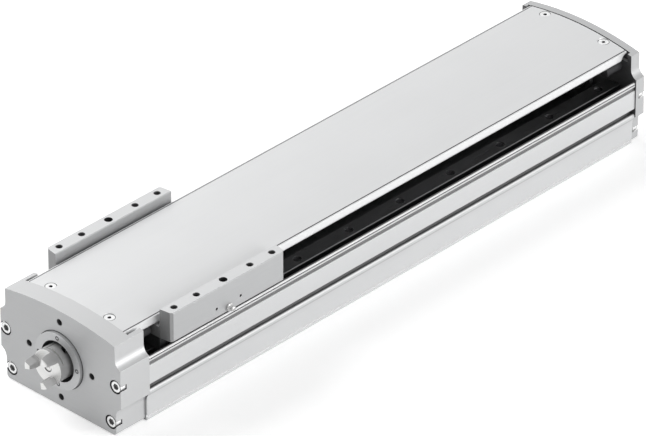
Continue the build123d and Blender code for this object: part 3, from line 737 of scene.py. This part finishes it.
def tapped_lining(points, faces, mouth, inward, radius, depth, pitch, segments=28, steps=4):
    """Adds the thread of one tapped hole to a mesh: ridges that wind down its wall."""
    along, first, second = hole_frame(inward)
    wall, crest = radius - 0.015, radius - 0.55 * pitch
    shape = [wall, (wall + crest) / 2, crest, (wall + crest) / 2]
    start = len(points)
    count = int(depth / pitch * steps)
    for i in range(-steps, count + 1):
        reach = shape[i % steps]
        for j in range(segments):
            turn = j / segments
            deep = min(max((i / steps + turn) * pitch, 0.35), depth)
            angle = 2 * math.pi * turn
            across = first * math.cos(angle) + second * math.sin(angle)
            points.append(tuple(Vector(mouth) + along * deep + across * reach))
    for face in thread_faces(count + steps + 1, segments, steps, start):
        faces.append(face[::-1])


def reamed_lining(points, faces, mouth, inward, radius, depth, segments=36):
    """Adds the wall and the floor of a plain hole to a mesh."""
    along, first, second = hole_frame(inward)
    start = len(points)
    rings = crisp([(0.12, radius - 0.015), (depth - 0.02, radius - 0.015), (depth - 0.02, 0.02)])
    for deep, reach in rings:
        for j in range(segments):
            angle = 2 * math.pi * j / segments
            across = first * math.cos(angle) + second * math.sin(angle)
            points.append(tuple(Vector(mouth) + along * deep + across * reach))
    faces.extend(grid_faces(len(rings), segments, start, True))


def make_hole_threads(details, finish):
    """The threads of the tapped holes in the arms and in the drive end cap, and the reamed holes."""
    points, faces = [], []
    middle, (_, outer, top) = CARRIAGE_MIDDLE, CARRIAGE_HIGH
    for side in (-1, 1):
        reamed_lining(points, faces, (middle, side * ARM_LINE, top), (0, 0, -1), 3.5, 8.0)
        for x in ARM_HOLES:
            mouth = (middle + x, side * ARM_LINE, top)
            tapped_lining(points, faces, mouth, (0, 0, -1), 3.0, 13.0, details.hole_pitch)
        for x in SIDE_HOLES:
            mouth, inward = (middle + x, side * outer, SIDE_HOLE_HEIGHT), (0, -side, 0)
            tapped_lining(points, faces, mouth, inward, 1.25, 5.5, details.small_hole_pitch)
    new_piece("carriage_hole_threads", points, faces, finish, "carriage", "carriage")
    points, faces = [], []
    for number in range(4):
        mouth = about_axis(DRIVE_FACE, MOTOR_RADIUS, number / 4)
        tapped_lining(points, faces, mouth, (1, 0, 0), 3.0, 11.5, details.hole_pitch)
    new_piece("motor_hole_threads", points, faces, finish, "frame", "drive_cap")


def ring_skin(points, faces, centre, direction, turn, rings, segments=36):
    """Adds round and hexagonal rings about a line to a mesh and joins each with the next."""
    along, first, second = hole_frame(direction)
    start = len(points)
    for reach, rise, hexagonal in rings:
        for j in range(segments):
            angle = 2 * math.pi * j / segments
            r = reach
            if hexagonal:
                r = reach / math.cos(((angle - turn) % (math.pi / 3)) - math.pi / 6)
            across = first * math.cos(angle) + second * math.sin(angle)
            points.append(tuple(Vector(centre) + along * rise + across * r))
    faces.extend(grid_faces(len(rings), segments, start))


def add_head(points, faces, seat, direction, radius, height, socket):
    """Adds a socket head to a mesh: a cylinder with a broken edge and a hexagonal socket."""
    apothem, edge = socket / 2, min(0.35, height * 0.12)
    rings = [
        (radius, 0.0, False), (radius, height - edge, False),
        (radius - 0.02, height - edge + 0.02, False), (radius - edge, height, False),
        (radius - edge - 0.02, height, False), (apothem + 0.12, height, True),
        (apothem, height - 0.1, True), (apothem, height - 0.14, True),
        (apothem, height * 0.45, True), (apothem - 0.03, height * 0.45 - 0.02, True),
        (0.02, height * 0.4, False),
    ]
    ring_skin(points, faces, seat, direction, 0.0, rings)


def make_nipples(nickel):
    """The two grease nipples: a chamfered hexagon, a neck and a ball head with its valve."""
    points, faces = [], []
    low, high = box_mm("grease_nipples")
    foot, height = CARRIAGE_HIGH[1], (low[2] + high[2]) / 2
    tip = high[1] - foot - 0.02
    rings = [
        (3.2, 0.0, True), (3.2, 1.75, True), (3.18, 1.8, True), (2.75, 2.2, False),
        (2.7, 2.22, False), (2.0, 2.22, False), (1.95, 2.26, False), (1.6, 3.2, False),
        (1.65, 3.6, False), (2.05, 4.0, False), (2.36, 4.5, False), (2.4, 4.9, False),
        (2.3, 5.3, False), (1.9, 5.8, False), (1.4, 6.15, False), (1.1, tip, False),
        (0.6, tip, False), (0.5, 5.9, False), (0.02, 5.8, False),
    ]
    for side in (-1, 1):
        seat = (CARRIAGE_MIDDLE, side * foot, height)
        ring_skin(points, faces, seat, (0, side, 0), math.pi / 6, rings)
    new_piece(
        "nipple_bodies", points, faces, nickel, "carriage", "nipple_brass", smooth=False,
        stands_for=("grease_nipples",),
    )


def head_rings(radius, drop, apothem):
    """The plated face of a sunk head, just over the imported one, and its side where it shows."""
    face = [(apothem + 0.2, 0.02, True), (apothem + 0.18, 0.02, True), (apothem + 0.02, -0.1, True)]
    if drop < 0.3:
        return [(radius, 0.02, False)] + face
    side = [(radius, -drop, False), (radius, -0.32, False), (radius - 0.02, -0.3, False)]
    return side + [(radius - 0.3, 0.02, False), (radius - 0.32, 0.02, False)] + face


def socket_rings(apothem, deep):
    """The hexagonal socket of a head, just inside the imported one."""
    return [
        (apothem + 0.02, -0.1, True), (apothem, -0.12, True), (apothem, -0.16, True),
        (apothem, -deep + 0.1, True), (apothem - 0.03, -deep + 0.08, True), (0.02, -deep + 0.06, False),
    ]


def make_sunk_heads(zinc, grey, black):
    """The plated heads of the screws that hold the caps and the cover, with painted shade in their
    sockets and dark rings of painted shade in the gaps around the cover's heads.
    """
    cap_heads, cap_sockets, cover_heads, sockets, gaps = [([], []) for _ in range(5)]
    turn = math.pi / 6
    for face, outwards in ((DRIVE_FACE, -1), (FAR_FACE, 1)):
        for side in (-1, 1):
            for y, z in HEAD_PLACES:
                seat = ((face - outwards * 0.4, side * y, z), (outwards, 0, 0), turn)
                ring_skin(*cap_heads, *seat, head_rings(5.02, 5.9, 2.47))
                ring_skin(*cap_sockets, *seat, socket_rings(2.47, 3.0))
    sink = COVER_ARCH - math.sqrt(COVER_ARCH**2 - (COVER_SCREW_LINE + COVER_FLAT) ** 2)
    top = box_mm("cover_plate")[1][2] - sink
    for x in (DRIVE_FACE + COVER_SCREWS_DRIVE, FAR_FACE - COVER_SCREWS_FAR):
        for side in (-1, 1):
            seat = ((x, side * COVER_SCREW_LINE, top), (0, 0, 1), turn)
            ring_skin(*cover_heads, *seat, head_rings(4.45, 0.1, 1.47))
            ring_skin(*sockets, *seat, socket_rings(1.47, 1.8))
            # A dark ring of painted shade in the gap around each cover head.
            ring_skin(*gaps, *seat, [(COVER_FLAT - 0.03, 0.012, False), (4.42, 0.012, False)])
    for name, mesh, finish, slot in (
        ("cap_screw_heads", cap_heads, zinc, "zinc_screws"),
        ("cover_screw_heads", cover_heads, zinc, "zinc_screws"),
        ("cap_screw_sockets", cap_sockets, grey, "zinc_screws"),
        ("cover_screw_sockets", sockets, black, "dark_screws"),
        ("cover_head_gap_shade", gaps, black, "dark_screws"),
    ):
        new_piece(name, *mesh, finish, "frame", slot, smooth=False)


def make_fasteners(black, dark):
    """The small screws: plate to blocks and housing, nut flange, collar and rails."""
    points, faces = [], []
    plate_top = CARRIAGE_LOW[2] + PLATE_THICKNESS
    places = [(0.0, side * HOUSING_SCREW_LINE) for side in (-1, 1)]
    for side in (-1, 1):
        for block in BLOCK_PLACES:
            places += [(block + step, side * RAIL_LINE) for step in BLOCK_SCREWS]
    for x, y in places:
        seat = (CARRIAGE_MIDDLE + x, y, plate_top)
        add_head(points, faces, seat, (0, 0, 1), 3.5, 4.0, 3.0)
    flange = box_mm("ball_nut")[0][0]
    for number in range(6):
        seat = about_axis(flange, FLANGE_RADIUS, number / 6)
        add_head(points, faces, seat, (-1, 0, 0), 2.75, 3.0, 2.5)
    new_piece("carriage_screw_heads", points, faces, black, "carriage", "dark_screws", smooth=False)
    points, faces = [], []
    collar_front = box_mm("bearing_collar")[0][0]
    for number in range(4):
        seat = about_axis(collar_front + 0.3, COLLAR_SCREW_RADIUS, number / 4)
        add_head(points, faces, seat, (-1, 0, 0), 2.0, 0.32, 1.5)
    # These heads take the painted hole shade.
    new_piece("collar_screw_heads", points, faces, dark, "frame", "dark_screws", smooth=False)
    points, faces = [], []
    rail_low, rail_high = box_mm("guide_rail_left")
    for side in (-1, 1):
        x = rail_low[0] + RAIL_SCREW_START
        while x < rail_high[0] - RAIL_SCREW_START / 2:
            seat = (x, side * RAIL_LINE, rail_high[2] - RAIL_SCREW_SINK)
            add_head(points, faces, seat, (0, 0, 1), 3.5, 0.3, 3.0)
            x += RAIL_SCREW_PITCH
    new_piece("rail_screw_heads", points, faces, black, "frame", "dark_screws", smooth=False)


# Operators


class AXIS_OT_aluminium(bpy.types.Operator):
    """Give the profile, the caps, the cover and the carriage their anodised finishes"""

    bl_idname = "axis.aluminium"
    bl_label = "Aluminium Finishes"

    def execute(self, context):
        colours, details = context.scene.axis_finishes, context.scene.axis_details
        profile = extruded_aluminium("profile_anodised", colours.profile, details)
        # Painted light: the upward faces of the profile are made much lighter.
        paint_facing_light_and_shade(profile, "Z", 0.8, 2.0, lighter(colours.profile, 0.8))
        shade_recesses(*finish_nodes(profile), colours.profile, colours.inside)
        dress(profile, "base_profile")
        for name, base, node, face in (
            ("drive_cap_anodised", colours.drive_cap, "drive_end_cap", -DRIVE_FACE),
            ("far_cap_anodised", colours.far_cap, "far_end_cap", FAR_FACE),
        ):
            # Painted shade along the caps' edges: their edge tone is the dark socket colour.
            cap = milled_aluminium(name, base, details, painted_edge_tone=colours.socket)
            # Painted light: the sides and tops of the caps are lighter than their end faces.
            for low, high in ((-2.0, -0.75), (0.75, 2.0)):
                paint_facing_light_and_shade(cap, "Y", low, high, lighter(base, 0.12))
            paint_facing_light_and_shade(cap, "Z", 0.8, 2.0, lighter(base, 0.14))
            # Painted shade: the inner face of the far cap, the ring around the collar on the drive cap,
            # and the counterbores of the cap screws.
            if node == "far_end_cap":
                paint_facing_light_and_shade(cap, "X", -2.0, -0.6, colours.inside)
            else:
                paint_ring_shade(cap, [(0.0, AXIS_HEIGHT)], 24.6, 25.7, colours.hole, face - 2.0)
            paint_ring_shade(cap, HEAD_PLACES, 0.0, 6.12, colours.hole, face - 6.7)
            dress(cap, node)
        cover = extruded_aluminium("cover_anodised", colours.cover, details)
        # Painted highlight: the cover's lips, which face the sides, are lighter.
        for low, high in ((-2.0, -0.7), (0.7, 2.0)):
            paint_facing_light_and_shade(cover, "Y", low, high, lighter(colours.cover, 0.4))
        # Painted shade in the groove above each lip.
        paint_cover_groove_shade(cover, colours.hole)
        dress(cover, "cover_plate")
        carriage = milled_aluminium(
            "carriage_anodised", colours.carriage, details, stretch=(40.0, 600.0, 600.0)
        )
        # Painted shade on the drive-end faces of the plate and arms, and painted light on their upward
        # faces.
        paint_facing_light_and_shade(carriage, "X", -2.0, -0.8, colours.arm_end)
        paint_facing_light_and_shade(carriage, "Z", 0.9, 2.0, colours.arm_top)
        dress(carriage, "carriage_plate")
        dress(milled_aluminium("housing_milled", colours.housing, details), "nut_housing")
        return {"FINISHED"}


class AXIS_OT_steel(bpy.types.Operator):
    """Give rails, blocks, bearings, nut, hub and collar their steel finishes, and make the nipples"""

    bl_idname = "axis.steel"
    bl_label = "Steel Finishes"

    def execute(self, context):
        colours, details = context.scene.axis_finishes, context.scene.axis_details
        bright = turned_steel("turned_bright_steel", colours.bright_steel, details)
        dress(bright, "ball_nut")
        hub = turned_steel("turned_hub_steel", colours.hub, details, 0.55, 0.34, 1400.0, 0.3)
        # Painted shade: the hub's sides and jaws are darker than its turned faces, with part of the
        # difference real from the turning.
        paint_facing_light_and_shade(hub, "X", -0.6, 0.6, colours.hub_body)
        dress(hub, "coupling_hub")
        collar = turned_steel("turned_collar_steel", colours.collar, details, 0.6, 0.35)
        # Painted shade in the collar's bore.
        paint_ring_shade(collar, [(0.0, AXIS_HEIGHT)], 0.0, COLLAR_BORE / 2 + 0.06, colours.hole)
        dress(collar, "bearing_collar")
        ground = turned_steel("ground_ring_steel", colours.bright_steel, details, spread=0.1)
        dress(ground, "bearing_outer_rings", "bearing_inner_rings")
        black = plated_steel("black_oxide", colours.black_steel, details, 0.6, 0.4)
        dress(black, "hub_clamp_screw")
        rail = ground_steel("ground_rail_steel", colours.rail, details)
        dress(rail, "guide_rail_left", "guide_rail_right", *ends("runner_block"))
        nickel = plated_steel("nickel_plated", colours.nickel, details, 0.9, 0.25)
        make_nipples(nickel)
        return {"FINISHED"}


class AXIS_OT_polymers(bpy.types.Operator):
    """Give the stops and the end plates of the blocks their rubber and plastic finishes"""

    bl_idname = "axis.polymers"
    bl_label = "Rubber and Plastic Finishes"

    def execute(self, context):
        colours, details = context.scene.axis_finishes, context.scene.axis_details
        rubber = moulded("matt_rubber", colours.rubber, details, 0.7)
        dress(rubber, "drive_end_buffers", "far_end_buffers")
        plastic = moulded("moulded_plastic", colours.plastic, details, 0.45, 3200.0, 0.15)
        dress(plastic, *ends("block_end_plates"))
        return {"FINISHED"}


class AXIS_OT_spindle(bpy.types.Operator):
    """Make the screw with its ball thread, journals and centre holes"""

    bl_idname = "axis.spindle"
    bl_label = "Ball Screw"

    def execute(self, context):
        colours, details = context.scene.axis_finishes, context.scene.axis_details
        steel = turned_steel(
            "rolled_thread_steel", colours.bright_steel, details, 0.95, 0.22, 900.0, 0.12
        )
        make_spindle(details, steel)
        return {"FINISHED"}


class AXIS_OT_hole_threads(bpy.types.Operator):
    """Make the threads that show in the tapped holes"""

    bl_idname = "axis.hole_threads"
    bl_label = "Hole Threads"

    def execute(self, context):
        colours, details = context.scene.axis_finishes, context.scene.axis_details
        # Painted shade: the cut threads and the walls of the holes take the dark hole colour.
        inside = plated_steel("cut_thread", colours.hole, details, 0.3, 0.45)
        make_hole_threads(details, inside)
        return {"FINISHED"}


class AXIS_OT_fasteners(bpy.types.Operator):
    """Make the faces of the screws in the caps and the cover, and the small ones inside"""

    bl_idname = "axis.fasteners"
    bl_label = "Small Screws"

    def execute(self, context):
        colours, details = context.scene.axis_finishes, context.scene.axis_details
        black = plated_steel("blackened_heads", colours.black_steel, details, 0.6, 0.42)
        # Painted shade: the collar's screw heads take the dark hole colour.
        make_fasteners(black, plated_steel("hole_shade_heads", colours.hole, details, 0.0, 0.6))
        zinc = plated_steel("zinc_plated", colours.zinc, details, 0.6, 0.3)
        # Painted shade in the sockets of the plated screws.
        make_sunk_heads(zinc, plated_steel("zinc_sockets", colours.socket, details, 0.5, 0.4), black)
        return {"FINISHED"}


class AXIS_OT_studio(bpy.types.Operator):
    """Make the floor, the lamps, the room light and the camera"""

    bl_idname = "axis.studio"
    bl_label = "Studio"

    def execute(self, context):
        studio = context.scene.axis_studio
        make_floor(studio)
        make_world(studio)
        make_lamp("key_lamp", studio.key_power, (-0.3, 2.2, 2.0), (2.2, 2.2))
        make_lamp("side_lamp", studio.side_power, (0.7, -2.7, 0.85), (2.0, 1.5))
        make_lamp("fill_lamp", studio.fill_power, (-2.8, 0.9, 1.0), (1.6, 1.6))
        make_camera(studio)
        context.scene.view_settings.view_transform = "Standard"
        return {"FINISHED"}


class AXIS_PT_panel(bpy.types.Panel):
    """Steps of the linear axis, in order"""

    bl_idname = "AXIS_PT_panel"
    bl_label = "Ball Screw Linear Axis"
    bl_space_type = "VIEW_3D"
    bl_region_type = "UI"
    bl_category = "Linear Axis"

    def draw(self, context):
        layout = self.layout
        for step in STEPS:
            layout.operator(step.bl_idname)
        for group in (
            context.scene.axis_finishes,
            context.scene.axis_details,
            context.scene.axis_studio,
        ):
            box = layout.box()
            for name in group.__annotations__:
                box.prop(group, name)


def ends(name):
    """The four nodes of a name, one for each side and end of the carriage."""
    return [f"{name}_{side}_{end}" for side in ("left", "right") for end in ("drive", "far")]


def seen_directly(tree):
    """One for rays from the camera and for reflections, nought for all others."""
    rays = add_node(tree, "ShaderNodeLightPath").outputs
    return compute(tree, "MAXIMUM", rays["Is Camera Ray"], rays["Is Glossy Ray"])


def make_floor(studio):
    """A wide pale floor at the height of the underside. It keeps the shadow and looks white."""
    mesh = bpy.data.meshes.new("studio_floor")
    points = [(8 * math.cos(a * math.pi / 32), 8 * math.sin(a * math.pi / 32), 0) for a in range(64)]
    mesh.from_pydata(points, [], [tuple(range(64))])
    floor = bpy.data.objects.new("studio_floor", mesh)
    bpy.context.scene.collection.objects.link(floor)
    material = bpy.data.materials.new("pale_floor")
    material.use_nodes = True
    tree = material.node_tree
    inputs = tree.nodes["Principled BSDF"].inputs
    inputs["Base Color"].default_value = (*studio.floor, 1.0)
    inputs["Roughness"].default_value = 0.9
    inputs["Specular IOR Level"].default_value = 0.1
    inputs["Emission Color"].default_value = (1.0, 1.0, 1.0, 1.0)
    glow = compute(tree, "MULTIPLY", seen_directly(tree), studio.floor_glow)
    tree.links.new(glow, inputs["Emission Strength"])
    mesh.materials.append(material)


def make_world(studio):
    """Even light for the object, and a white room for the camera and for reflections."""
    world = bpy.data.worlds.new("plain_room")
    world.use_nodes = True
    tree = world.node_tree
    back = tree.nodes["Background"].inputs
    back["Color"].default_value = (1.0, 1.0, 1.0, 1.0)
    strength = map_range(tree, seen_directly(tree), target=(studio.ambient, 1.0))
    tree.links.new(strength, back["Strength"])
    bpy.context.scene.world = world


def make_lamp(name, power, place, size):
    """A large rectangular lamp that faces the middle of the axis."""
    data = bpy.data.lights.new(name, "AREA")
    data.shape = "RECTANGLE"
    data.size, data.size_y = size
    data.energy = power
    lamp = bpy.data.objects.new(name, data)
    lamp.location = place
    aim = Vector((0, 0, 0.05)) - Vector(place)
    lamp.rotation_mode = "QUATERNION"
    lamp.rotation_quaternion = aim.to_track_quat("-Z", "Y")
    bpy.context.scene.collection.objects.link(lamp)


def make_camera(studio):
    """The camera of the photograph: a long lens, above and before the drive end."""
    data = bpy.data.cameras.new("photo_camera")
    data.lens = studio.lens
    data.sensor_width = 36.0
    data.clip_start, data.clip_end = 0.1, 50.0
    camera = bpy.data.objects.new("photo_camera", data)
    a, e, roll = studio.azimuth, studio.elevation, studio.roll
    back = Vector((math.sin(a) * math.cos(e), -math.cos(a) * math.cos(e), math.sin(e)))
    right = Vector((math.cos(a), math.sin(a), 0.0))
    up = back.cross(right)
    rolled_right = right * math.cos(roll) + up * math.sin(roll)
    rolled_up = up * math.cos(roll) - right * math.sin(roll)
    turn = Matrix((rolled_right, rolled_up, back)).transposed()
    camera.matrix_world = Matrix.Translation(studio.place) @ turn.to_4x4()
    bpy.context.scene.collection.objects.link(camera)
    bpy.context.scene.camera = camera


STEPS = (
    AXIS_OT_studio,
    AXIS_OT_aluminium,
    AXIS_OT_steel,
    AXIS_OT_polymers,
    AXIS_OT_spindle,
    AXIS_OT_hole_threads,
    AXIS_OT_fasteners,
)
CLASSES = (AxisFinishes, AxisDetails, AxisStudio, *STEPS, AXIS_PT_panel)


def register():
    """Adds the classes and their settings to the scene."""
    for cls in CLASSES:
        bpy.utils.register_class(cls)
    bpy.types.Scene.axis_finishes = PointerProperty(type=AxisFinishes)
    bpy.types.Scene.axis_details = PointerProperty(type=AxisDetails)
    bpy.types.Scene.axis_studio = PointerProperty(type=AxisStudio)


def unregister():
    """Takes the classes and their settings away again."""
    del bpy.types.Scene.axis_studio
    del bpy.types.Scene.axis_details
    del bpy.types.Scene.axis_finishes
    for cls in reversed(CLASSES):
        bpy.utils.unregister_class(cls)


def main():
    register()
    bpy.ops.axis.studio()
    bpy.ops.axis.aluminium()
    bpy.ops.axis.steel()
    bpy.ops.axis.polymers()
    bpy.ops.axis.spindle()
    bpy.ops.axis.hole_threads()
    bpy.ops.axis.fasteners()


if __name__ == "__main__":
    main()
